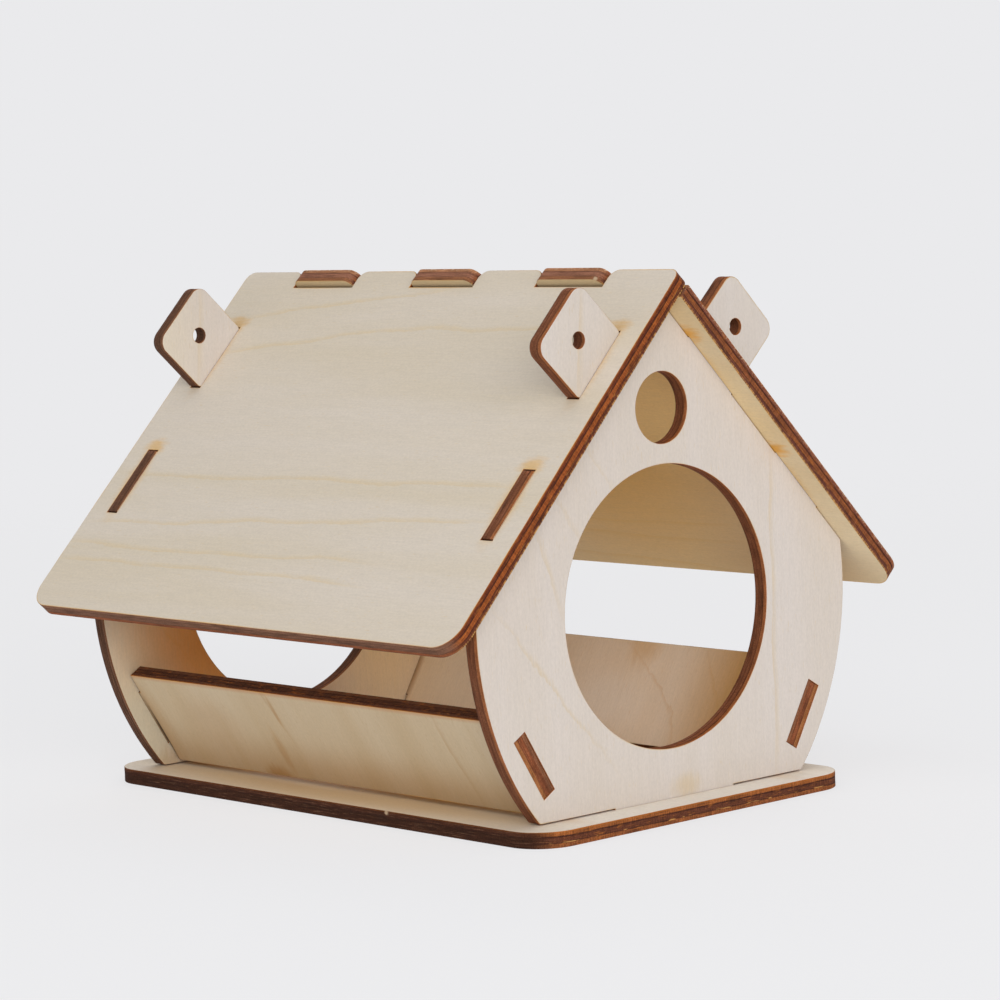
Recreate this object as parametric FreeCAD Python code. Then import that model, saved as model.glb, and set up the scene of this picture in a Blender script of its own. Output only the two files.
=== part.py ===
import FreeCAD, Part
import math
import os

from FreeCAD import Vector

# Bird feeder: a small house of seven flat plywood sheets that push together with tabs and slots.
# The ridge runs along Y, the front gable faces -Y, and the origin is the middle of the base's underside.
# Lengths are in millimetres and angles in degrees.

# Sheet and fits
ply = 4.0
fit_gap = 0.1
seat_gap = 0.1

# Base
base_width = 110.5
base_length = 172.8
base_corner = 10.5

# Gables: house_length is measured over their outer faces
house_length = 153.5
foot_width = 92.5
foot_tab_width = 42.2
foot_tab_recess = 0.2
belly_width = 129.4
shoulder_width = 128.4
shoulder_height = 62.6
entry_radius = 35.6
entry_height = 52.2
vent_radius = 9.0
vent_height = 101.9

# Roof: distances down the slope are measured from the gable's apex
roof_pitch = 46.2
roof_length = 169.1
panel_depth = 117.0
tongue_proud = 1.1
finger_proud = 1.9
ridge_corner = 3.0
eave_corner = 7.0
finger_count = 3
notch_width = 24.7
notch_pitch = 48.4
notch_floor = 0.5
butt_gap = 0.4

# Lugs and low tabs that pass through the roof
slope_tab_width = 21.4
lug_top = 15.0
low_tab_top = 58.6
low_tab_proud = 0.4
lug_height = 18.6
lug_corner = 3.5
hanging_hole_radius = 2.25

# Side panels: the place is the middle of each slanted slot in the gables
side_lean = 31.0
side_height = 29.4
side_middle_x = 47.6
side_middle_z = 18.8
side_tab_width = 17.5
side_tab_recess = 0.2

# Values worked out from the ones above
pitch_sine = math.sin(math.radians(roof_pitch))
pitch_cosine = math.cos(math.radians(roof_pitch))
lean_sine = math.sin(math.radians(side_lean))
lean_cosine = math.cos(math.radians(side_lean))
apex_height = shoulder_height + shoulder_width / 2 * pitch_sine / pitch_cosine
gable_middle = house_length / 2 - ply / 2
slot_width = ply + 2 * fit_gap
tongue_reach = ply + seat_gap + tongue_proud
finger_reach = ply + seat_gap + finger_proud
notch_middles = [(index - (finger_count - 1) / 2) * notch_pitch for index in range(finger_count)]


def rounded_wire(corners):
    """Closed wire in the XY plane through (x, y, radius) corners, each rounded to its radius."""
    starts = []
    ends = []
    edges = []
    for index, (x, y, radius) in enumerate(corners):
        corner = Vector(x, y, 0)
        before = corners[index - 1]
        after = corners[(index + 1) % len(corners)]
        back = (Vector(before[0], before[1], 0) - corner).normalize()
        ahead = (Vector(after[0], after[1], 0) - corner).normalize()
        half_angle = back.getAngle(ahead) / 2
        reach = radius / math.tan(half_angle)
        starts.append(corner + back * reach)
        ends.append(corner + ahead * reach)
        if radius:
            inward = (back + ahead).normalize()
            middle = corner + inward * (radius / math.sin(half_angle) - radius)
            edges.append(Part.Arc(starts[-1], middle, ends[-1]).toShape())
    for index, end in enumerate(ends):
        start = starts[(index + 1) % len(starts)]
        edges.append(Part.makeLine(end, start))
    return Part.Wire(Part.__sortEdges__(edges))


def sheet(corners):
    """Plywood sheet with its lower face in the XY plane."""
    return Part.Face(rounded_wire(corners)).extrude(Vector(0, 0, ply))


def rectangle(x_low, y_low, x_high, y_high, radius=0.0):
    """Corners of a rectangle, all rounded alike."""
    return [
        (x_low, y_low, radius),
        (x_high, y_low, radius),
        (x_high, y_high, radius),
        (x_low, y_high, radius),
    ]


def placed(shape, origin, x_axis, y_axis):
    """Stand a flat sheet in space: its own X and Y go along the two axes."""
    z_axis = x_axis.cross(y_axis)
    matrix = FreeCAD.Matrix(
        x_axis.x, y_axis.x, z_axis.x, origin.x,
        x_axis.y, y_axis.y, z_axis.y, origin.y,
        x_axis.z, y_axis.z, z_axis.z, origin.z,
        0, 0, 0, 1,
    )
    shape.Placement = FreeCAD.Placement(matrix)
    return shape


def drill(shape, x, y, radius):
    """Cut a round hole through a flat sheet."""
    return shape.cut(Part.makeCylinder(radius, ply, Vector(x, y, 0)))


def make_base():
    """Floor with one slot for each gable's foot tab."""
    half_width = base_width / 2
    half_length = base_length / 2
    base = sheet(rectangle(-half_width, -half_length, half_width, half_length, base_corner))
    slot_half = foot_tab_width / 2 + fit_gap
    for middle in (-gable_middle, gable_middle):
        slot = sheet(rectangle(-slot_half, middle - slot_width / 2, slot_half, middle + slot_width / 2))
        base = base.cut(slot)
    return base


def slope_point(down, out, radius=0.0):
    """Corner on the gable's right slope: a distance down from the apex and one out from the slope."""
    x = down * pitch_cosine + out * pitch_sine
    z = apex_height - down * pitch_sine + out * pitch_cosine
    return (x, z, radius)


def gable_half():
    """Right half of a gable, drawn with X across the house and Y upwards."""
    foot = foot_width / 2
    tab = foot_tab_width / 2
    shoulder = shoulder_width / 2
    low_tab_out = seat_gap + ply + low_tab_proud
    lug_out = seat_gap + ply + lug_height
    lug_bottom = lug_top + slope_tab_width
    low_tab_bottom = low_tab_top + slope_tab_width
    half = sheet([
        (0, foot_tab_recess, 0),
        (tab, foot_tab_recess, 0),
        (tab, ply, 0),
        (foot, ply, 0),
        (shoulder, shoulder_height, 0),
        slope_point(low_tab_bottom, 0),
        slope_point(low_tab_bottom, low_tab_out),
        slope_point(low_tab_top, low_tab_out),
        slope_point(low_tab_top, 0),
        slope_point(lug_bottom, 0),
        slope_point(lug_bottom, lug_out, lug_corner),
        slope_point(lug_top, lug_out, lug_corner),
        slope_point(lug_top, 0),
        (0, apex_height, 0),
    ])
    foot_corner = Vector(foot, ply, 0)
    shoulder_corner = Vector(shoulder, shoulder_height, 0)
    belly_arc = Part.Arc(foot_corner, Vector(belly_width / 2, entry_height, 0), shoulder_corner)
    belly_chord = Part.makeLine(shoulder_corner, foot_corner)
    belly = Part.Face(Part.Wire([belly_arc.toShape(), belly_chord])).extrude(Vector(0, 0, ply))
    half = half.fuse(belly)
    slot = placed(
        sheet(rectangle(-slot_width / 2, -side_tab_width / 2 - fit_gap,
                        slot_width / 2, side_tab_width / 2 + fit_gap)),
        Vector(side_middle_x, side_middle_z, 0),
        Vector(lean_cosine, -lean_sine, 0),
        Vector(lean_sine, lean_cosine, 0),
    )
    half = half.cut(slot)
    hole_x, hole_y, _ = slope_point(lug_top + slope_tab_width / 2, seat_gap + ply + lug_height / 2)
    return drill(half, hole_x, hole_y, hanging_hole_radius)


def make_gable(inner_face):
    """Gable sheet whose thickness runs towards -Y from the given Y."""
    half = gable_half()
    gable = half.fuse(half.mirror(Vector(0, 0, 0), Vector(1, 0, 0))).removeSplitter()
    gable = drill(gable, 0, entry_height, entry_radius)
    gable = drill(gable, 0, vent_height, vent_radius)
    return placed(gable, Vector(0, inner_face, 0), Vector(1, 0, 0), Vector(0, 0, 1))


def make_side_panel(side):
    """Low board that leans outwards, with a tab at each end. side is -1 on the left and 1 on the right."""
    body_end = house_length / 2 - ply
    tab_end = house_length / 2 - side_tab_recess
    half_height = side_height / 2
    half_tab = side_tab_width / 2
    panel = sheet(rectangle(-body_end, -half_height, body_end, half_height))
    panel = panel.fuse(sheet(rectangle(-tab_end, -half_tab, tab_end, half_tab))).removeSplitter()
    up = Vector(side * lean_sine, 0, lean_cosine)
    outward = Vector(side * lean_cosine, 0, -lean_sine)
    origin = Vector(side * side_middle_x, 0, side_middle_z) + outward * (ply / 2)
    return placed(panel, origin, Vector(0, -side, 0), up)


def left_ridge_edge():
    """Corners along the left panel's ridge edge: tongues with an open notch between each pair."""
    half_length = roof_length / 2
    corners = [(-half_length, -tongue_reach, ridge_corner)]
    for middle in notch_middles:
        near = middle - notch_width / 2
        far = middle + notch_width / 2
        corners += [
            (near, -tongue_reach, ridge_corner),
            (near, notch_floor, 0),
            (far, notch_floor, 0),
            (far, -tongue_reach, ridge_corner),
        ]
    corners.append((half_length, -tongue_reach, ridge_corner))
    return corners


def right_ridge_edge():
    """Corners along the right panel's ridge edge: fingers that pass through the left panel's notches."""
    half_length = roof_length / 2
    half_finger = notch_width / 2 - fit_gap
    corners = [(-half_length, butt_gap, 0)]
    for middle in notch_middles:
        near = middle - half_finger
        far = middle + half_finger
        corners += [
            (near, butt_gap, 0),
            (near, -finger_reach, ridge_corner),
            (far, -finger_reach, ridge_corner),
            (far, butt_gap, 0),
        ]
    corners.append((half_length, butt_gap, 0))
    return corners


def make_roof_panel(side, ridge_edge, reach):
    """Roof sheet with slots for the lugs and low tabs. reach is how far it passes over the apex."""
    half_length = roof_length / 2
    eave = panel_depth - reach
    panel = sheet(ridge_edge + [(half_length, eave, eave_corner), (-half_length, eave, eave_corner)])
    for middle in (-gable_middle, gable_middle):
        for top in (lug_top, low_tab_top):
            slot = sheet(rectangle(middle - slot_width / 2, top - fit_gap,
                                   middle + slot_width / 2, top + slope_tab_width + fit_gap))
            panel = panel.cut(slot)
    down = Vector(side * pitch_cosine, 0, -pitch_sine)
    outward = Vector(side * pitch_sine, 0, pitch_cosine)
    origin = Vector(0, 0, apex_height) + outward * seat_gap
    return placed(panel, origin, Vector(0, -side, 0), down)


pieces = {
    "base_plate": make_base(),
    "front_gable": make_gable(ply - house_length / 2),
    "rear_gable": make_gable(house_length / 2),
    "left_side_panel": make_side_panel(-1),
    "right_side_panel": make_side_panel(1),
    "left_roof_panel": make_roof_panel(-1, left_ridge_edge(), tongue_reach),
    "right_roof_panel": make_roof_panel(1, right_ridge_edge(), finger_reach),
}

os.makedirs("parts", exist_ok=True)
for name, shape in pieces.items():
    shape.exportStep(f"parts/{name}.step")
    box = shape.BoundBox
    print(name, "valid" if shape.isValid() else "NOT VALID", len(shape.Solids), "solid",
          f"{box.XLength:.1f} x {box.YLength:.1f} x {box.ZLength:.1f} mm")
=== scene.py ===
import math
from collections import namedtuple

import bmesh
import bpy
from mathutils import Matrix, Vector, noise
from mathutils.geometry import delaunay_2d_cdt
from mathutils.kdtree import KDTree


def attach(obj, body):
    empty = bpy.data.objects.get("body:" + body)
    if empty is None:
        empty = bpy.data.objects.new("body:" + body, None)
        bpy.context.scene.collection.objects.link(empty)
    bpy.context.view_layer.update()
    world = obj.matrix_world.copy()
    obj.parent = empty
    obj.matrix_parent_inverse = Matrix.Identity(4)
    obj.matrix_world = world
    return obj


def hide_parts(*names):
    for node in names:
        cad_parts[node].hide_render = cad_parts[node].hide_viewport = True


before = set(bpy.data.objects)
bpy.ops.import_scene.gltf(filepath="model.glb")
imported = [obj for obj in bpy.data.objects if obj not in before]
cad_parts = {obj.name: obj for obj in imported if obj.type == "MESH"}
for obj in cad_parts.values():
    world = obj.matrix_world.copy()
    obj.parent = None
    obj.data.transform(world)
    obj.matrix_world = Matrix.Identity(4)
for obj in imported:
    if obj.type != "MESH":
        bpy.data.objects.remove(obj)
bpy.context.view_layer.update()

# A bird feeder of seven laser-cut sheets of three-layer birch plywood, pushed together by tabs and slots.
# Lengths are in metres, and every sheet is drawn again over its own outline in the frame.
millimetre = 0.001
upwards = (0, 0, 1)
frontwards = (0, -1, 0)
backwards = (0, 1, 0)
leftwards = (-1, 0, 0)
rightwards = (1, 0, 0)

# Reading the frame: how closely a normal follows a direction, and which points count as one or as touching
roughly_along = 0.3
squarely_along = 0.999
weld_distance = millimetre / 1000
touch_distance = millimetre / 100

# Outlines: how closely they are drawn, and which facets of the frame stand for a round curve
outline_step = 0.7 * millimetre
longest_facet = 8 * millimetre
sharpest_facet = math.radians(35)

# Cut edges: how a sheet's edge is rounded, grooved at the glue lines and eaten by the laser
ply_count = 3
rim_width = 0.5 * millimetre
corner_room = 1.1 * rim_width
arris = 0.09 * millimetre
arris_bevel = 0.3 * arris
groove_width = 0.12 * millimetre
groove_depth = 0.06 * millimetre
core_recess = 0.02 * millimetre
char_depth = 0.05 * millimetre
ridge_pitch = 1.1 * millimetre
ridge_stretch = 8

# Faces: the grid that divides them, and the angle from which a bend is shaded as an edge
face_step = 6 * millimetre
crease_angle = math.radians(50)

# Slits left where a gable stands on the base, where a panel runs against a gable and where a gable's lugs
# and tabs pass through the roof. The last kind reaches a little way out of the roof.
foot_slit = 0.3 * millimetre
panel_slit = 0.6 * millimetre
tab_slit = 0.3 * millimetre
tab_slit_height = 0.6 * millimetre

# Nicks: places on the arrises where a splinter is missing. One ends at its reach, counted in sizes from its
# middle, falls off down the edge by a power of the height, and is a number of times flatter in the face.
nick_size = 0.6 * millimetre
nick_reach = 1.5
nick_depth = 0.3 * millimetre
nick_falloff = 6
nick_flatness = 3
nicks = [
    Vector((-0.0552, -0.0298, 0.0040)),
    Vector((-0.0041, -0.0588, 0.1339)),
]

# Hanging holes: the holes this small are tightened by a burr
small_hole = 6 * millimetre
hole_burr = 0.15 * millimetre

# Noise: the range that it mostly keeps to, how far a seed moves it, and what a back face adds to its seed
noise_range = (0.3, 0.7)
seed_steps = (3.7, 5.3, 7.1)
back_seed = 20

# Growth lines: how they fade in, how sharply they end, how far they stray from a smooth curve and which
# fibres carry them
line_blur = 1.8 * millimetre
line_end = 0.35 * millimetre
line_jag = 2.4 * millimetre
least_jag = 0.3
line_wander = 4 * millimetre
line_fade = 12 * millimetre
line_fibre_range = (0.1, 0.6)
line_strength = 0.42

# Stains and patches of painted light or shade: how far their outlines stray, and how much of their radius
# they cover fully
stain_tear = 12 * millimetre
stain_core = 0.2

# Veneers: sizes of their marks along the grain, across it and through the sheet, the range of the noise
# over which they come up, and how strongly they show
endless = 1.0
band_size = (0.15, 0.014, endless)
band_range = (0.25, 0.75)
fibre_size = (0.006, 0.0005, endless)
fibre_contrast = 0.07
fibre_roughness = 0.2
speck_size = (0.0009, 0.0005, endless)
speck_contrast = 0.09
pore_size = (0.0024, 0.0003, endless)
pore_range = (0.66, 0.8)
pore_strength = 0.38
jag_size = (0.0035, 0.0022, endless)
wander_size = (0.03, 0.012, endless)
tear_size = (0.006, 0.0013, endless)
least_roughness = 0.5
veneer_gloss = 0.3
veneer_relief = 0.01 * millimetre

# Burnt edges: the same values for their marks, and levels from the back face at 0 to the show face at 1
side_grain_range = (0.3, 0.9)
ridge_size = (0.00014, 0.00014, 0.003)
ridge_contrast = 0.3
streak_size = (0.005, 0.005, 0.0002)
end_streak_contrast = 0.15
side_streak_contrast = 0.3
ash_range = (0.9, 1.0)
ash_strength = 0.2
grit_size = (0.0003, 0.0003, 0.0002)
grit_contrast = 0.25
blotch_size = (0.008, 0.008, 0.002)
soot_range = (0.52, 0.8)
soot_strength = 0.6
fleck_size = (0.0035, 0.0035, 0.0004)
ember_range = (0.54, 0.7)
ember_strength = 0.4
lower_seam = 0.30
seam_waver = 0.08
faint_seam_share = 0.35
chip_range = (0.54, 0.66)
chip_spread = (0.045, 0.01)
glow_levels = (0.88, 1.0)
least_glow = 0.2
end_glow = 0.4
dust_size = (0.0004, 0.0004, 0.0004)
dust_range = (0.5, 0.66)
dust_levels = (0.76, 0.98)
splinter_size = (0.0004, 0.0004, 0.01)
splinter_range = (0.4, 0.6)
fringe_levels = (0.14, 0.06)
raw_range = (0.1, 0.9)
edge_roughness = 0.85
edge_gloss = 0.1
edge_relief = 0.05 * millimetre

# Bake map: spare room between the flattened faces and edges, and how much wider edges are drawn
map_gap = 2 * millimetre
map_edge_stretch = 2.0

# Camera of the photograph
camera_place = Vector((-0.62181, -0.69761, 0.16327))
camera_yaw = math.radians(-42.379)
camera_pitch = math.radians(-5.387)
camera_roll = math.radians(-2.328)
camera_near_limit = 0.05
focal_length_pixels = 3550.43
picture_width_pixels = 1000
sensor_width_mm = 36.0

# Studio: even light from all round, the point that the lamps face, and a round floor that fades out
world_strength = 0.38
lamp_target = Vector((0, 0, 0.06))
floor_radius = 1.1
floor_segments = 96
floor_fade_start = 0.5 * floor_radius
floor_fade_end = 0.95 * floor_radius
floor_shadow_share = 0.25

# Tones of a veneer's bands, growth lines and scorched rim, and of an edge's three plies
VeneerTones = namedtuple("VeneerTones", "pale deep line rim")
EdgeTones = namedtuple("EdgeTones", "show_ply core back_ply")

# A growth line has its place across the grain where the grain's own axis is at zero. It leans from there,
# and a bow is what the lean gains over a millimetre. It starts and ends at places along the grain.
GrowthLine = namedtuple("GrowthLine", "across lean start end bow", defaults=(0.0,))

# An oval stain or patch of painted light or shade: its middle and size along the grain and across it
Blot = namedtuple("Blot", "along across length width tint strength")

# What one face or the cut edge of a sheet looks like. Fringe is how frayed the back face's arris is, flecks
# how pale the chips along the lower glue line are, and dust how much of it lies on the show face's arris.
FaceLook = namedtuple("FaceLook", "tones lines blots", defaults=((),))
EdgeLook = namedtuple("EdgeLook", "end_grain side_grain fringe flecks dust", defaults=(0.0, 0.0, 0.0))


def colour(red, green, blue):
    """Linear colour with full alpha for the 8-bit values that a paint swatch has."""
    def linear(value):
        value /= 255
        return value / 12.92 if value <= 0.04045 else ((value + 0.055) / 1.055) ** 2.4
    return (linear(red), linear(green), linear(blue), 1.0)


white = colour(255, 255, 255)
backdrop_grey = colour(234, 234, 236)
floor_lit = colour(250, 250, 251)
floor_glow = colour(240, 240, 242)
# Near black of soot on the burnt edges, also used for a painted shadow line where a side panel meets a
# gable
soot_and_shade_black = colour(48, 30, 24)
glue = colour(68, 37, 28)
ash = colour(132, 104, 82)
cream = colour(226, 200, 165)
bare_wood = colour(190, 164, 134)
straw = colour(214, 160, 92)
ember = colour(190, 112, 48)
amber = colour(218, 172, 94)
flame = colour(222, 158, 44)
# Brown of smoke stains, also used for painted shade on the side panels near the base and the gables
smoke_and_shade_brown = colour(166, 114, 46)
honey = colour(204, 180, 136)
gable_birch = VeneerTones(colour(213, 203, 195), colour(210, 199, 188), honey, honey)

# Where sheets meet: the height of the base's upper face, and how far out the gables' inner faces are
base_top = max(vertex.co.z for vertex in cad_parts["base_plate"].data.vertices)
gable_inside = min(abs(vertex.co.y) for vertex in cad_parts["rear_gable"].data.vertices)


class Sheet:
    """A flat sheet in the frame. Its own axes run along the grain, across it and out of its show face."""

    def __init__(self, node, body, facing, grain, seed):
        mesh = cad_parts[node].data
        self.node = node
        self.body = body
        self.seed = seed
        ahead = [face for face in mesh.polygons if face.normal.dot(Vector(facing)) > roughly_along]
        self.out = max(ahead, key=lambda face: face.area).normal.copy()
        grain = Vector(grain)
        self.along = (grain - self.out * self.out.dot(grain)).normalized()
        self.across = self.out.cross(self.along)
        heights = [vertex.co.dot(self.out) for vertex in mesh.vertices]
        self.thickness = max(heights) - min(heights)
        self.level = (max(heights) + min(heights)) / 2
        self.outlines = outlines(self)

    def flat(self, point):
        """Place on the sheet, along and across the grain, of a point or step in space."""
        return Vector((point.dot(self.along), point.dot(self.across)))

    def spatial(self, point, depth):
        """Point in space of a place on the sheet, at a depth from its middle towards the show face."""
        return self.along * point.x + self.across * point.y + self.out * (self.level + depth)


def outlines(sheet):
    """Closed outlines of the show face in the sheet's own axes, outer one first, wood on their left."""
    solid = bmesh.new()
    solid.from_mesh(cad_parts[sheet.node].data)
    bmesh.ops.remove_doubles(solid, verts=solid.verts, dist=weld_distance)
    show_faces = {face for face in solid.faces if face.normal.dot(sheet.out) > squarely_along}
    following = {}
    for face in solid.faces:
        if face not in show_faces:
            continue
        for corner in face.loops:
            beyond = [other for other in corner.edge.link_faces if other is not face]
            if not any(other in show_faces for other in beyond):
                following[corner.vert] = corner.link_loop_next.vert
    loops = []
    while following:
        start, vert = following.popitem()
        loop = [sheet.flat(start.co)]
        while vert is not start:
            loop.append(sheet.flat(vert.co))
            vert = following.pop(vert)
        loops.append(loop)
    solid.free()
    return sorted(loops, key=lambda loop: min(point.x for point in loop))


def extent(points):
    """Lowest and highest corners of the box round flat points."""
    low = Vector((min(point.x for point in points), min(point.y for point in points)))
    high = Vector((max(point.x for point in points), max(point.y for point in points)))
    return low, high


def heading(before, point, after, run):
    """Direction of a smooth curve at a point, or of the run itself at a sharp corner."""
    turn = (point - before).angle(after - point)
    if turn > sharpest_facet or run.length > longest_facet:
        return run.normalized()
    return (after - before).normalized()


def resample(loop):
    """Points along a closed outline, close together, with facets turned back into round curves."""
    points = []
    for index, start in enumerate(loop):
        before = loop[index - 1]
        end = loop[(index + 1) % len(loop)]
        after = loop[(index + 2) % len(loop)]
        run = end - start
        leave = heading(before, start, end, run) * run.length
        arrive = heading(start, end, after, run) * run.length
        pieces = math.ceil(run.length / outline_step)
        for piece in range(pieces):
            share = piece / pieces
            square = share ** 2
            cube = share ** 3
            points.append(
                start * (2 * cube - 3 * square + 1)
                + leave * (cube - 2 * square + share)
                + end * (3 * square - 2 * cube)
                + arrive * (cube - square)
            )
    return points


def inward_normals(points):
    """For each point of an outline, the step into the wood that moves both its sides by one."""
    normals = []
    for index, point in enumerate(points):
        back = (point - points[index - 1]).normalized()
        ahead = (points[(index + 1) % len(points)] - point).normalized()
        first = Vector((-back.y, back.x))
        second = Vector((-ahead.y, ahead.x))
        normals.append((first + second) / (1 + first.dot(second)))
    return normals


def edge_profile(thickness):
    """(inset, depth) steps over a cut edge, from the show face's rim round to the back face's rim."""
    face = thickness / 2
    glue_line = face / ply_count
    half = [
        (rim_width, face),
        (rim_width / 2, face),
        (arris, face),
        (arris_bevel, face - arris_bevel),
        (0.0, face - arris),
        (0.0, (face + glue_line) / 2),
        (0.0, glue_line + groove_width),
        (groove_depth, glue_line),
        (core_recess, glue_line - groove_width),
    ]
    return half + [(core_recess, 0.0)] + [(inset, -depth) for inset, depth in reversed(half)]


def inside_roof(point):
    """Whether a point lies in the thickness of a roof sheet or just over it."""
    heights = [(point.dot(roof.out) - roof.level, roof.thickness / 2) for roof in roofs]
    return any(-face < height < face + tab_slit_height for height, face in heights)


def slit(sheet, point, inward):
    """Step by which a point of an outline keeps off another sheet that it meets."""
    place = sheet.spatial(point, 0.0)
    if abs(place.z - base_top) < touch_distance:
        return sheet.flat(Vector((0, 0, foot_slit)))
    if abs(abs(place.y) - gable_inside) < touch_distance:
        return sheet.flat(Vector((0, -math.copysign(panel_slit, place.y), 0)))
    if sheet.node.endswith("gable") and inside_roof(place):
        return inward * tab_slit
    return Vector((0, 0))


def crowds_corner(points, index):
    """Whether a sharp corner beside a point is so close that its rim would fold over the point."""
    point = points[index]
    for step in (-1, 1):
        corner = points[(index + step) % len(points)]
        beyond = points[(index + 2 * step) % len(points)]
        sharp = (corner - point).angle(beyond - corner) > sharpest_facet
        if sharp and (corner - point).length < corner_room:
            return True
    return False


def with_slits(sheet, points):
    """Outline that keeps off the sheets it meets, without the points that then crowd its corners."""
    moved = [point + slit(sheet, point, normal) for point, normal in zip(points, inward_normals(points))]
    return [point for index, point in enumerate(moved) if not crowds_corner(moved, index)]


def burr(loop):
    """How far the rim of a small hole stands into it."""
    low, high = extent(loop)
    return hole_burr if max(high - low) < small_hole else 0.0


def char(point, depth, seed):
    """How far the laser has eaten into an edge, in fine ridges that run through the sheet."""
    place = Vector((point.x, point.y, depth / ridge_stretch)) / ridge_pitch
    ridge = noise.noise(place + Vector((seed, seed, 0)))
    return char_depth * (0.5 + 0.5 * ridge)


def nicked(sheet, point, depth):
    """How much of the arris has splintered off at a point, from 0 to 1."""
    on_arris = sheet.spatial(point, math.copysign(sheet.thickness / 2, depth))
    nearest = min((on_arris - nick).length for nick in nicks)
    return min(1.0, max(0.0, nick_reach - nearest / nick_size))


class SheetMesh:
    """Mesh of one sheet, with what its materials read at every point and a bake map."""

    show_slot, edge_slot, back_slot = range(3)

    def __init__(self, sheet):
        self.sheet = sheet
        self.profile = edge_profile(sheet.thickness)
        self.loops = [with_slits(sheet, resample(loop)) for loop in sheet.outlines]
        self.low, high = extent([point for loop in self.loops for point in loop])
        self.size = high - self.low
        self.map_row = 2 * (self.size.y + map_gap)
        self.points = []
        self.places = []
        self.scorch = []
        self.raw = []
        self.side_grain = []
        self.faces = []
        self.slots = []
        self.corners = []
        show_rims = []
        back_rims = []
        for loop in self.loops:
            first = len(self.points)
            self.add_rings(loop)
            self.add_bands(loop, first)
            show_rims.append(range(first, first + len(loop)))
            back_rims.append(range(len(self.points) - len(loop), len(self.points)))
        self.add_veneers(show_rims, back_rims)

    def add_point(self, place, level, scorch=0.0, raw=0.0, side_grain=0.0):
        """A point of the mesh with what its materials read there. Gives its index."""
        self.points.append(self.sheet.spatial(place, level))
        self.places.append((place.x, place.y, level))
        self.scorch.append(scorch)
        self.raw.append(raw)
        self.side_grain.append(side_grain)
        return len(self.points) - 1

    def add_rings(self, loop):
        """Rings of points round one outline, a ring for each step of the edge profile."""
        seed = self.sheet.seed
        face = self.sheet.thickness / 2
        inward = inward_normals(loop)
        tight = burr(loop)
        for inset, depth in self.profile:
            for point, normal in zip(loop, inward):
                missing = nicked(self.sheet, point, depth) if abs(depth) > face / 2 else 0.0
                cut = inset - tight
                level = depth
                if inset < groove_depth:
                    cut += char(point, depth, seed)
                if inset <= arris:
                    cut += missing * nick_depth * (abs(depth) / face) ** nick_falloff
                if inset <= arris and abs(depth) == face:
                    level -= math.copysign(missing * nick_depth / nick_flatness, depth)
                scorch = max(0.0, 1 - inset / rim_width)
                raw = missing if inset <= arris else 0.0
                self.add_point(point + normal * cut, level, scorch, raw, abs(normal.normalized().y))

    def add_bands(self, loop, first):
        """Bands of quads between the rings of one outline."""
        count = len(loop)
        face = self.sheet.thickness / 2
        width = 0.0
        travelled = 0.0
        widths = [0.0]
        for (inset, depth), (next_inset, next_depth) in zip(self.profile, self.profile[1:]):
            width += math.hypot(next_inset - inset, next_depth - depth) * map_edge_stretch
            widths.append(width)
        for index, point in enumerate(loop):
            ahead = (index + 1) % count
            length = (loop[ahead] - point).length
            if travelled + length > self.size.x:
                travelled = 0.0
                self.map_row += width + map_gap
            for ring in range(len(self.profile) - 1):
                top = first + ring * count
                low = top + count
                quad = (top + index, low + index, low + ahead, top + ahead)
                depths = (self.profile[ring][1], self.profile[ring + 1][1])
                if min(depths) == face:
                    self.add_flat(quad, self.show_slot)
                elif max(depths) == -face:
                    self.add_flat(quad, self.back_slot)
                else:
                    start = Vector((travelled, self.map_row + widths[ring]))
                    side = Vector((0.0, widths[ring + 1] - widths[ring]))
                    step = Vector((length, 0.0))
                    self.faces.append(quad)
                    self.slots.append(self.edge_slot)
                    self.corners += [start, start + side, start + side + step, start + step]
            travelled += length
        self.map_row += width + map_gap

    def add_flat(self, face, slot):
        """A face of the veneer, mapped as it lies."""
        shift = Vector((0.0, self.size.y + map_gap if slot == self.back_slot else 0.0))
        self.faces.append(face)
        self.slots.append(slot)
        for index in face:
            self.corners.append(Vector(self.places[index][:2]) - self.low + shift)

    def inner_points(self, rim):
        """Points of an even grid that keep clear of the rims."""
        tree = KDTree(len(rim))
        for index, point in enumerate(rim):
            tree.insert(point.to_3d(), index)
        tree.balance()
        inner = []
        for column in range(1, math.ceil(self.size.x / face_step)):
            for row in range(1, math.ceil(self.size.y / face_step)):
                point = self.low + Vector((column, row)) * face_step
                _, _, distance = tree.find(point.to_3d())
                if distance > face_step / 2:
                    inner.append(point)
        return inner

    def add_veneers(self, show_rims, back_rims):
        """Both faces inside their rims, in even triangles with the holes left open."""
        face = self.sheet.thickness / 2
        rim = [Vector(self.places[index][:2]) for loop in show_rims for index in loop]
        flat = rim + self.inner_points(rim)
        rounds = []
        start = 0
        for loop in show_rims:
            turn = 1 if start == 0 else -1
            rounds.append(list(range(start, start + len(loop)))[::turn])
            start += len(loop)
        _, _, triangles, sources, _, owners = delaunay_2d_cdt(flat, [], rounds, 1, weld_distance)
        wood = [triangle for triangle, owner in zip(triangles, owners) if owner == [0]]
        for slot, rims, level in ((self.show_slot, show_rims, face), (self.back_slot, back_rims, -face)):
            indices = dict(enumerate(index for loop in rims for index in loop))
            for triangle in wood:
                corners = []
                for vertex in triangle:
                    source = sources[vertex][0]
                    if source not in indices:
                        indices[source] = self.add_point(flat[source], level)
                    corners.append(indices[source])
                if slot == self.back_slot:
                    corners.reverse()
                self.add_flat(tuple(corners), slot)

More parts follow.
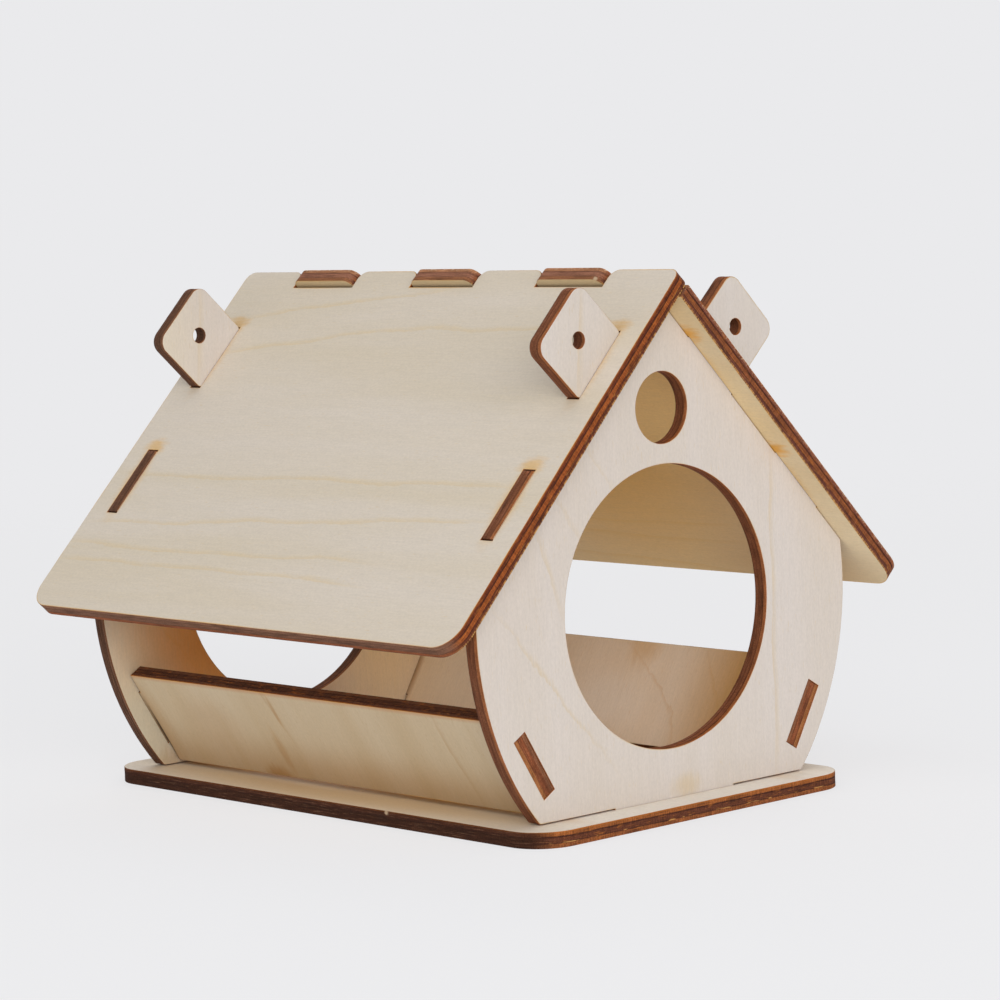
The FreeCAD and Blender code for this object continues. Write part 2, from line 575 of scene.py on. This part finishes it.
    def piece(self, name, materials):
        """The finished Blender object."""
        mesh = bpy.data.meshes.new(name)
        mesh.from_pydata(self.points, [], self.faces)
        for material in materials:
            mesh.materials.append(material)
        mesh.polygons.foreach_set("material_index", self.slots)
        mesh.polygons.foreach_set("use_smooth", [True] * len(self.faces))
        mesh.set_sharp_from_angle(angle=crease_angle)
        place = mesh.attributes.new("place", "FLOAT_VECTOR", "POINT")
        place.data.foreach_set("vector", [value for triple in self.places for value in triple])
        for attribute in ("scorch", "raw", "side_grain"):
            values = mesh.attributes.new(attribute, "FLOAT", "POINT")
            values.data.foreach_set("value", getattr(self, attribute))
        bake_map = mesh.uv_layers.new(name="OFBake")
        spread = Vector((self.size.x + outline_step, self.map_row))
        flat = [value for corner in self.corners for value in (corner.x / spread.x, corner.y / spread.y)]
        bake_map.uv.foreach_set("vector", flat)
        mesh.validate()
        piece = bpy.data.objects.new(name, mesh)
        bpy.context.scene.collection.objects.link(piece)
        return piece


class Shader:
    """Short calls that add nodes to a material or world. An input is a constant or a node's socket."""

    def __init__(self, owner):
        owner.use_nodes = True
        self.owner = owner
        self.tree = owner.node_tree
        self.tree.nodes.clear()

    def add(self, kind, inputs, **settings):
        """A node of the given kind with its inputs and settings."""
        node = self.tree.nodes.new("ShaderNode" + kind)
        for key, value in settings.items():
            setattr(node, key, value)
        for key, value in inputs.items():
            if isinstance(value, bpy.types.NodeSocket):
                self.tree.links.new(value, node.inputs[key])
            else:
                node.inputs[key].default_value = value
        return node

    def attribute(self, name):
        """Node that reads what the mesh holds at every point."""
        return self.add("Attribute", {}, attribute_name=name, attribute_type="GEOMETRY")

    def math(self, operation, *values):
        """Result of one step of arithmetic."""
        return self.add("Math", dict(enumerate(values)), operation=operation).outputs[0]

    def product(self, value, *others):
        """All the values multiplied."""
        for other in others:
            value = self.math("MULTIPLY", value, other)
        return value

    def rise(self, value, low, high):
        """0 at low, 1 at high and smooth between them."""
        inputs = {"Value": value, "From Min": low, "From Max": high}
        return self.add("MapRange", inputs, interpolation_type="SMOOTHSTEP").outputs[0]

    def noise(self, place, sizes, seed, detail=2.0, warp=0.0):
        """Soft noise whose blots have the given sizes along, across and through the sheet."""
        scale = [1 / size for size in sizes]
        shift = [seed * step for step in seed_steps]
        mapped = self.add("Mapping", {"Vector": place, "Location": shift, "Scale": scale}).outputs[0]
        inputs = {"Vector": mapped, "Scale": 1.0, "Detail": detail, "Distortion": warp}
        return self.add("TexNoise", inputs).outputs["Fac"]

    def stretched(self, value):
        """Noise stretched so that it reaches 0 and 1."""
        return self.rise(value, *noise_range)

    def mix(self, factor, first, second, blend="MIX"):
        """Colour between two, or the first one blended with the second."""
        inputs = {0: factor, 6: first, 7: second}
        return self.add("Mix", inputs, data_type="RGBA", blend_type=blend).outputs[2]

    def cover(self, base, tint, *shares):
        """Colour covered by a tint, as strongly as the shares multiplied say."""
        return self.mix(self.product(*shares), base, tint)

    def vary(self, base, value, spread):
        """Colour made darker and paler by noise, by the given spread to either side."""
        factor = self.math("MULTIPLY_ADD", value, 2 * spread, 1 - spread)
        return self.mix(1.0, base, factor, "MULTIPLY")

    def ramp(self, value, stops):
        """Colour that runs through (position, colour) stops."""
        node = self.add("ValToRGB", {"Fac": value})
        elements = node.color_ramp.elements
        for _ in stops[2:]:
            elements.new(1.0)
        for element, (position, shade) in zip(elements, stops):
            element.position = position
            element.color = shade
        return node.outputs["Color"]

    def finish(self, base, roughness, gloss, height, height_size):
        """Dull wood of the given colour, roughness, gloss and relief."""
        bump = self.add("Bump", {"Height": height, "Strength": 1.0, "Distance": height_size}).outputs[0]
        inputs = {"Base Color": base, "Roughness": roughness, "Normal": bump, "Specular IOR Level": gloss}
        wood = self.add("BsdfPrincipled", inputs).outputs[0]
        self.add("OutputMaterial", {"Surface": wood})
        return self.owner


def growth_line(shader, along, across, jag, wander, line):
    """Line of late wood that leans and bows from the grain, more jagged the more it crosses the fibres."""
    slope = shader.math("MULTIPLY_ADD", along, line.bow / millimetre, line.lean)
    path = shader.math("MULTIPLY_ADD", along, slope, line.across - line_wander / 2)
    path = shader.math("MULTIPLY_ADD", wander, line_wander, path)
    middle_lean = line.lean + line.bow * (line.start + line.end) / millimetre
    path = shader.math("MULTIPLY_ADD", jag, line_jag * (least_jag + abs(middle_lean)), path)
    off = shader.math("SUBTRACT", across, path)
    near = shader.math("SUBTRACT", shader.rise(off, -line_blur, 0.0), shader.rise(off, 0.0, line_end))
    begun = shader.rise(along, line.start - line_fade, line.start + line_fade)
    ended = shader.rise(along, line.end - line_fade, line.end + line_fade)
    return shader.product(near, shader.math("SUBTRACT", begun, ended))


def blot_cover(shader, along, across, torn, blot):
    """How strongly a soft torn-edged blot covers a point."""
    first = shader.math("MULTIPLY_ADD", along, 2 / blot.length, -2 * blot.along / blot.length)
    second = shader.math("MULTIPLY_ADD", across, 2 / blot.width, -2 * blot.across / blot.width)
    square = shader.math("MULTIPLY_ADD", first, first, shader.product(second, second))
    tear = stain_tear / max(blot.length, blot.width)
    radius = shader.math("ADD", shader.math("SQRT", square), tear / 2)
    reach = shader.math("MULTIPLY_ADD", torn, -tear, radius)
    return shader.product(shader.rise(reach, 1.0, stain_core), blot.strength)


def veneer(name, look, seed):
    """Bare birch veneer: soft bands, fine fibres, short pores, growth lines, stains, patches of painted
    light or shade and a scorched rim.
    """
    shader = Shader(bpy.data.materials.new(name))
    tones = look.tones
    place = shader.attribute("place").outputs["Vector"]
    scorch = shader.attribute("scorch").outputs["Fac"]
    along, across, _ = shader.add("SeparateXYZ", {0: place}).outputs
    band = shader.noise(place, band_size, seed, detail=3.0, warp=0.3)
    fibre = shader.noise(place, fibre_size, seed + 1, detail=3.0)
    pore = shader.noise(place, pore_size, seed + 2, detail=1.0)
    jag = shader.noise(place, jag_size, seed + 3, detail=1.0)
    wander = shader.noise(place, wander_size, seed + 4, detail=1.0)
    torn = shader.noise(place, tear_size, seed + 5, detail=3.0)
    speck = shader.noise(place, speck_size, seed + 6)

    base = shader.mix(shader.rise(band, *band_range), tones.pale, tones.deep)
    broken = shader.product(shader.rise(fibre, *line_fibre_range), line_strength)
    for line in look.lines:
        drawn = growth_line(shader, along, across, jag, wander, line)
        base = shader.cover(base, tones.line, drawn, broken)
    for blot in look.blots:
        base = shader.cover(base, blot.tint, blot_cover(shader, along, across, torn, blot))
    base = shader.vary(base, fibre, fibre_contrast)
    base = shader.vary(base, speck, speck_contrast)
    base = shader.cover(base, tones.line, shader.rise(pore, *pore_range), pore_strength)
    base = shader.cover(base, tones.rim, shader.rise(scorch, 0.0, 1.0), shader.stretched(wander))
    roughness = shader.math("MULTIPLY_ADD", fibre, fibre_roughness, least_roughness)
    return shader.finish(base, roughness, veneer_gloss, fibre, veneer_relief)


def ply_layers(shader, through, tones, seam):
    """Colours of the three plies from the back face at 0 to the show face at 1, with seams between them."""
    return shader.ramp(through, [
        (0.0, tones.back_ply),
        (0.25, tones.back_ply),
        (lower_seam, seam),
        (0.35, tones.core),
        (0.61, tones.core),
        (0.66, seam),
        (0.70, seam),
        (0.76, tones.show_ply),
        (1.0, tones.show_ply),
    ])


def end_grain_wood(shader, through, tones, ridge, streak, fleck):
    """Edge across the fibres: dark glue lines, fine ridges and rusty flecks."""
    base = ply_layers(shader, through, tones, glue)
    base = shader.vary(base, ridge, ridge_contrast)
    base = shader.vary(base, streak, end_streak_contrast)
    return shader.cover(base, ember, shader.rise(fleck, *ember_range), ember_strength)


def side_grain_wood(shader, through, tones, streak):
    """Edge along the fibres: faint glue lines and ashen streaks."""
    wood_share = 1 - faint_seam_share
    seam = [faint_seam_share * dark + wood_share * pale for dark, pale in zip(glue, tones.core)]
    base = ply_layers(shader, through, tones, seam)
    base = shader.cover(base, ash, shader.rise(streak, *ash_range), ash_strength)
    return shader.vary(base, streak, side_streak_contrast)


def cut_edge(name, look, thickness, seed):
    """Laser-burnt edge: finely ridged where it crosses the grain and streaked where it follows it."""
    shader = Shader(bpy.data.materials.new(name))
    place = shader.attribute("place").outputs["Vector"]
    raw = shader.attribute("raw").outputs["Fac"]
    follows = shader.rise(shader.attribute("side_grain").outputs["Fac"], *side_grain_range)
    crosses = shader.math("SUBTRACT", 1.0, follows)
    ridge = shader.stretched(shader.noise(place, ridge_size, seed, detail=1.0))
    streak = shader.stretched(shader.noise(place, streak_size, seed + 1))
    blotch = shader.noise(place, blotch_size, seed + 2, detail=3.0)
    fleck = shader.noise(place, fleck_size, seed + 3)
    grit = shader.stretched(shader.noise(place, grit_size, seed + 4))
    splinter = shader.noise(place, splinter_size, seed + 5, detail=1.0)
    scatter = shader.noise(place, dust_size, seed + 6, detail=3.0)
    depth = shader.add("SeparateXYZ", {0: place}).outputs[2]
    level = shader.math("MULTIPLY_ADD", depth, 1 / thickness, 0.5 - seam_waver / 2)
    through = shader.math("MULTIPLY_ADD", blotch, seam_waver, level)

    crossing = end_grain_wood(shader, through, look.end_grain, ridge, streak, fleck)
    running = side_grain_wood(shader, through, look.side_grain, streak)
    base = shader.mix(follows, crossing, running)
    base = shader.vary(base, grit, grit_contrast)
    base = shader.cover(base, soot_and_shade_black, shader.rise(blotch, *soot_range), soot_strength)
    off_seam = shader.math("ABSOLUTE", shader.math("SUBTRACT", through, lower_seam))
    chip = shader.product(shader.rise(off_seam, *chip_spread), shader.rise(fleck, *chip_range))
    base = shader.cover(base, straw, chip, crosses, look.flecks)
    glow = shader.math("MULTIPLY_ADD", crosses, end_glow, least_glow)
    base = shader.cover(base, ember, shader.rise(through, *glow_levels), glow)
    dusty = shader.product(shader.rise(through, *dust_levels), shader.rise(scatter, *dust_range))
    base = shader.cover(base, cream, dusty, look.dust)
    tooth = shader.product(shader.rise(through, *fringe_levels), shader.rise(splinter, *splinter_range))
    base = shader.cover(base, straw, tooth, crosses, look.fringe)
    base = shader.cover(base, bare_wood, shader.rise(raw, *raw_range))
    return shader.finish(base, edge_roughness, edge_gloss, ridge, edge_relief)


def sheet_materials(sheet, show, edge, back):
    """Materials of a sheet's show face, cut edge and back face, in the order of its mesh's slots."""
    return [
        veneer(sheet.node + "_veneer", show, sheet.seed),
        cut_edge(sheet.node + "_cut_edge", edge, sheet.thickness, sheet.seed),
        veneer(sheet.node + "_back_veneer", back, sheet.seed + back_seed),
    ]


def slot_burns(sheet, tint, strength, outwards=0.0):
    """Amber scorch marks round every slot in a roof sheet and a tinted one at its ridge end.

    outwards is how far the tinted one lies towards the nearer end of the sheet.
    """
    burns = []
    towards_ridge = math.copysign(1.0 * millimetre, sheet.across.z)
    for slot in sheet.outlines[1:]:
        middle = sum(point.x for point in slot) / len(slot)
        centre = sum(point.y for point in slot) / len(slot)
        top = max(slot, key=lambda point: sheet.spatial(point, 0).z).y
        outside = middle + math.copysign(outwards, middle)
        burns.append(Blot(middle, centre, 0.010, 0.034, amber, 0.5))
        burns.append(Blot(outside, top + towards_ridge, 0.012, 0.008, tint, strength))
    return burns


def roof_materials(sheet, edge):
    """Roof sheets: greyish birch with growth lines nearly along the ridge, and yellow wood underneath with
    painted warm light and painted shade.
    """
    lines = [
        GrowthLine(-0.0785, 0.058, -0.060, 0.070, bow=0.00097),
        GrowthLine(-0.0282, 0.020, -0.070, 0.075),
        GrowthLine(-0.0146, 0.060, -0.068, 0.075),
        GrowthLine(-0.0037, 0.015, -0.035, 0.080),
        GrowthLine(0.0023, 0.0, -0.035, 0.080),
        GrowthLine(-0.0925, 0.140, 0.000, 0.070),
    ]
    show = VeneerTones(colour(217, 206, 192), colour(213, 200, 179), colour(213, 187, 136), amber)
    back = VeneerTones(colour(225, 206, 171), colour(220, 197, 157), colour(204, 166, 108), amber)
    outline = sheet.outlines[0]
    low, high = extent(outline)
    eave, ridge = sorted((low.y, high.y), key=lambda across: sheet.across.z * across)
    middle = sum(point.y for point in outline) / len(outline)
    behind_vent = ridge - math.copysign(0.047, sheet.across.z)
    # Painted warm light under the roof for light bounced inside the house and seen through the vent, and
    # painted shade along the ridge and at the eave
    painted_underside_lighting = [
        Blot(0.0, middle, 0.180, 0.300, colour(234, 193, 115), 1.0),
        Blot(0.0, ridge, 0.220, 0.080, colour(250, 216, 146), 0.9),
        Blot(0.0, ridge, 0.400, 0.030, colour(211, 187, 146), 1.0),
        Blot(-0.044, behind_vent, 0.100, 0.070, colour(252, 222, 160), 0.8),
        Blot(-0.050, eave, 0.080, 0.050, colour(210, 176, 126), 0.7),
    ]
    show_burns = slot_burns(sheet, amber, 0.6)
    back_burns = slot_burns(sheet, flame, 0.85, outwards=0.0025)
    return sheet_materials(
        sheet,
        FaceLook(show, lines, show_burns),
        edge,
        FaceLook(back, lines, painted_underside_lighting + back_burns),
    )


def left_roof_materials(sheet):
    """Left roof sheet: rust-coloured ends."""
    end_grain = EdgeTones(colour(106, 52, 32), colour(146, 77, 38), colour(98, 52, 36))
    side_grain = EdgeTones(colour(132, 94, 73), colour(120, 84, 65), colour(138, 81, 52))
    return roof_materials(sheet, EdgeLook(end_grain, side_grain, fringe=0.8, flecks=0.3))


def right_roof_materials(sheet):
    """Right roof sheet: duller ends with pale dust on their upper arris."""
    end_grain = EdgeTones(colour(122, 70, 52), colour(132, 76, 46), colour(104, 60, 48))
    side_grain = EdgeTones(colour(172, 118, 84), colour(150, 102, 80), colour(146, 96, 66))
    return roof_materials(sheet, EdgeLook(end_grain, side_grain, fringe=0.8, flecks=0.3, dust=0.7))


def gable_materials(sheet, show_blots, edge, back_blots):
    """Gables: pale birch with upright grain and growth lines that meet in a V."""
    lines = [
        GrowthLine(0.0075, 0.86, 0.020, 0.052),
        GrowthLine(-0.0365, -0.03, 0.010, 0.085),
        GrowthLine(-0.055, 0.86, 0.084, 0.093),
        GrowthLine(-0.013, 0.59, 0.073, 0.081),
        GrowthLine(0.0165, 0.36, 0.058, 0.075),
        GrowthLine(0.0336, -0.052, 0.110, 0.130),
    ]
    show = FaceLook(gable_birch, lines, show_blots)
    back = FaceLook(gable_birch, lines, back_blots)
    return sheet_materials(sheet, show, edge, back)


def front_gable_materials(sheet):
    """Front gable: a yellow stain over the foot, and painted warm light on its inner face inside the house.
    """
    stain = Blot(0.0065, -0.004, 0.009, 0.014, colour(204, 176, 124), 0.4)
    # Painted warm light on the inner face, for light bounced inside the house
    painted_lighting = Blot(0.050, 0.0, 0.170, 0.150, colour(240, 204, 150), 0.95)
    end_grain = EdgeTones(colour(156, 95, 57), colour(144, 88, 62), colour(138, 90, 68))
    side_grain = EdgeTones(colour(152, 95, 60), colour(116, 71, 48), colour(118, 73, 51))
    return gable_materials(sheet, [stain], EdgeLook(end_grain, side_grain), [painted_lighting])


def rear_gable_materials(sheet):
    """Rear gable, whose show face is the inner one: painted warm light and painted shade where it lies
    inside the house.
    """
    # Painted light and painted shade on the inner face: pale patches where light comes in, darker orange
    # ones for the shade under the roof
    painted_lighting = [
        Blot(0.025, 0.058, 0.090, 0.050, colour(218, 203, 175), 0.8),
        Blot(0.045, 0.022, 0.120, 0.100, colour(222, 158, 84), 0.95),
        Blot(0.040, -0.035, 0.110, 0.070, colour(245, 221, 182), 0.95),
        Blot(0.014, 0.052, 0.052, 0.040, colour(198, 190, 168), 0.85),
        Blot(0.004, 0.044, 0.014, 0.018, colour(180, 154, 118), 0.6),
        Blot(0.120, 0.050, 0.060, 0.060, colour(220, 209, 190), 0.8),
    ]
    end_grain = EdgeTones(colour(140, 94, 66), colour(122, 82, 64), colour(120, 84, 68))
    side_grain = EdgeTones(colour(112, 78, 58), colour(92, 64, 48), colour(96, 68, 54))
    return gable_materials(sheet, painted_lighting, EdgeLook(end_grain, side_grain), [])


def side_materials(sheet):
    """Side panels: upright grain, browned partly by smoke and partly by painted shade along the lower edge
    and at the far end, with painted light and shade inside.
    """
    lines = [
        GrowthLine(0.010, 0.10, 0.040, 0.060),
        GrowthLine(-0.053, 0.05, 0.030, 0.055),
    ]
    inner_lines = [
        GrowthLine(0.0166, 1.56, 0.026, 0.052, bow=-0.0321),
        GrowthLine(0.0727, -0.65, 0.036, 0.055),
    ]
    outer = VeneerTones(colour(205, 186, 156), colour(196, 173, 138), colour(176, 138, 94), amber)
    inner = VeneerTones(colour(236, 221, 203), colour(231, 213, 191), colour(214, 178, 132), honey)
    lowest, highest = extent(sheet.outlines[0])
    low = lowest.x
    high = highest.x
    far = highest.y
    middle = (low + high) / 2
    # Smoke stains mixed with painted shade, darker towards the lower edge and the far end
    smoke_and_painted_shade = [
        Blot(low, 0.0, 0.032, 0.400, smoke_and_shade_brown, 0.24),
        Blot(low, 0.028, 0.010, 0.016, smoke_and_shade_brown, 0.6),
        Blot(low + 0.012, far, 0.040, 0.030, smoke_and_shade_brown, 0.45),
        Blot(middle + 0.001, 0.046, 0.026, 0.036, smoke_and_shade_brown, 0.2),
        Blot(middle - 0.005, 0.021, 0.020, 0.005, smoke_and_shade_brown, 0.35),
        Blot(high - 0.006, 0.0150, 0.014, 0.002, smoke_and_shade_brown, 0.4),
        Blot(high, 0.0, 0.003, 0.600, ember, 0.4),
        # Painted shadow: a dark line where the panel runs against a gable
        Blot(low + 0.010, gable_inside - 0.0006, 0.030, 0.0016, soot_and_shade_black, 0.9),
    ]
    # Painted light and painted shade on the inner face: pale where light reaches in, warmer and darker in
    # the shade under the roof, and a painted shadow line against the other gable
    painted_lighting = [
        Blot(middle, -far, 0.060, 0.120, colour(252, 238, 218), 0.9),
        Blot(middle, 0.064, 0.160, 0.072, colour(215, 174, 114), 1.0),
        Blot(high, 0.015, 0.020, 0.018, colour(213, 170, 108), 0.5),
        Blot(middle - 0.004, 0.006, 0.026, 0.040, colour(240, 232, 222), 0.6),
        Blot(middle, -gable_inside, 0.040, 0.005, smoke_and_shade_brown, 0.6),
    ]
    end_grain = EdgeTones(colour(98, 64, 48), colour(84, 53, 39), colour(106, 70, 52))
    side_grain = EdgeTones(colour(156, 100, 60), colour(136, 78, 50), colour(135, 87, 61))
    return sheet_materials(
        sheet,
        FaceLook(outer, lines, smoke_and_painted_shade),
        EdgeLook(end_grain, side_grain),
        FaceLook(inner, inner_lines, painted_lighting),
    )


def base_materials(sheet):
    """Base: pale birch with an orange-brown front and back edge and nearly black sides, painted warm light
    inside the house and painted shade under the side panels.
    """
    lines = [GrowthLine(0.03, 0.04, -0.07, 0.07), GrowthLine(-0.02, -0.03, -0.06, 0.05)]
    show = VeneerTones(colour(228, 219, 207), colour(223, 211, 194), colour(204, 172, 122), honey)
    back = VeneerTones(colour(222, 210, 192), colour(216, 200, 176), colour(202, 172, 126), honey)
    lowest, _ = extent(sheet.outlines[0])
    # Painted warm light on the floor inside the house and warm painted shade where the side panels stand
    # over it; a pale patch at the front end keeps the painted light off it
    painted_base_lighting = [Blot(0.0, 0.0, 0.190, 0.130, colour(226, 180, 118), 0.95)]
    for side in (-1, 1):
        painted_base_lighting.append(Blot(0.0, side * 0.046, 0.260, 0.030, colour(206, 176, 126), 0.6))
        painted_base_lighting.append(Blot(0.0, side * 0.037, 0.260, 0.012, colour(214, 160, 80), 0.9))
    painted_base_lighting.append(Blot(lowest.x, 0.0, 0.036, 0.180, colour(246, 239, 229), 0.9))
    end_grain = EdgeTones(colour(150, 88, 46), colour(98, 56, 39), colour(136, 80, 46))
    side_grain = EdgeTones(colour(72, 41, 27), colour(60, 35, 23), colour(65, 38, 25))
    return sheet_materials(
        sheet,
        FaceLook(show, lines, painted_base_lighting),
        EdgeLook(end_grain, side_grain, flecks=0.9),
        FaceLook(back, lines),
    )


def add_camera():
    """Camera at the place and angle that the photograph was taken from."""
    data = bpy.data.cameras.new("photo_camera")
    data.sensor_width = sensor_width_mm
    data.lens = focal_length_pixels / picture_width_pixels * sensor_width_mm
    data.clip_start = camera_near_limit
    camera = bpy.data.objects.new("photo_camera", data)
    camera.matrix_world = (
        Matrix.Translation(camera_place)
        @ Matrix.Rotation(camera_yaw, 4, "Z")
        @ Matrix.Rotation(math.pi / 2 + camera_pitch, 4, "X")
        @ Matrix.Rotation(camera_roll, 4, "Z")
    )
    bpy.context.scene.collection.objects.link(camera)
    bpy.context.scene.camera = camera


def add_world():
    """Even light from all round, shown as the pale grey backdrop: directly, mirrored or through glass."""
    world = bpy.data.worlds.new("studio")
    shader = Shader(world)
    light = shader.add("Background", {"Color": white, "Strength": world_strength}).outputs[0]
    backdrop = shader.add("Background", {"Color": backdrop_grey}).outputs[0]
    rays = shader.add("LightPath", {}).outputs
    shown = rays["Is Camera Ray"]
    for kind in ("Is Glossy Ray", "Is Transmission Ray"):
        shown = shader.math("MAXIMUM", shown, rays[kind])
    surface = shader.add("MixShader", {0: shown, 1: light, 2: backdrop}).outputs[0]
    shader.add("OutputWorld", {"Surface": surface})
    bpy.context.scene.world = world


def add_lamp(name, place, width, height, power):
    """Soft box that faces the feeder."""
    data = bpy.data.lights.new(name, "AREA")
    data.shape = "RECTANGLE"
    data.size = width
    data.size_y = height
    data.energy = power
    lamp = bpy.data.objects.new(name, data)
    lamp.location = place
    lamp.rotation_euler = (lamp_target - Vector(place)).to_track_quat("-Z", "Y").to_euler()
    bpy.context.scene.collection.objects.link(lamp)


def floor_material():
    """Pale lit table that keeps a soft shadow and fades out into the backdrop."""
    shader = Shader(bpy.data.materials.new("pale_floor"))
    place = shader.add("TexCoord", {}).outputs["Object"]
    distance = shader.add("VectorMath", {0: place}, operation="LENGTH").outputs["Value"]
    lit = shader.add("BsdfDiffuse", {"Color": floor_lit}).outputs[0]
    glow = shader.add("Emission", {"Color": floor_glow}).outputs[0]
    surface = shader.add("MixShader", {0: floor_shadow_share, 1: glow, 2: lit}).outputs[0]
    clear = shader.add("BsdfTransparent", {}).outputs[0]
    fade = shader.rise(distance, floor_fade_start, floor_fade_end)
    surface = shader.add("MixShader", {0: fade, 1: surface, 2: clear}).outputs[0]
    shader.add("OutputMaterial", {"Surface": surface})
    return shader.owner


def add_floor():
    """Round floor under the feeder."""
    disc = bmesh.new()
    bmesh.ops.create_circle(disc, cap_ends=True, segments=floor_segments, radius=floor_radius)
    mesh = bpy.data.meshes.new("floor")
    disc.to_mesh(mesh)
    disc.free()
    mesh.materials.append(floor_material())
    floor = bpy.data.objects.new("floor", mesh)
    bpy.context.scene.collection.objects.link(floor)


sheets = {
    Sheet("base_plate", "house", upwards, grain=backwards, seed=1): base_materials,
    Sheet("front_gable", "house", frontwards, grain=upwards, seed=2): front_gable_materials,
    Sheet("rear_gable", "house", frontwards, grain=upwards, seed=3): rear_gable_materials,
    Sheet("left_side_panel", "house", leftwards, grain=upwards, seed=4): side_materials,
    Sheet("right_side_panel", "house", rightwards, grain=upwards, seed=5): side_materials,
    Sheet("left_roof_panel", "left_roof", leftwards, grain=backwards, seed=6): left_roof_materials,
    Sheet("right_roof_panel", "right_roof", rightwards, grain=backwards, seed=7): right_roof_materials,
}
roofs = [sheet for sheet in sheets if sheet.node.endswith("roof_panel")]

for sheet, materials in sheets.items():
    piece = SheetMesh(sheet).piece(sheet.node + "_sheet", materials(sheet))
    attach(piece, sheet.body)
    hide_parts(sheet.node)

add_camera()
add_world()
add_lamp("front_softbox", (-0.95, -1.63, 0.72), width=1.6, height=1.0, power=22.5)
add_lamp("top_softbox", (-1.2, -0.2, 1.6), width=1.4, height=1.4, power=7.0)
add_lamp("back_fill", (1.2, 0.9, 1.0), width=1.4, height=1.4, power=5.0)
add_floor()
bpy.context.scene.view_settings.view_transform = "Standard"
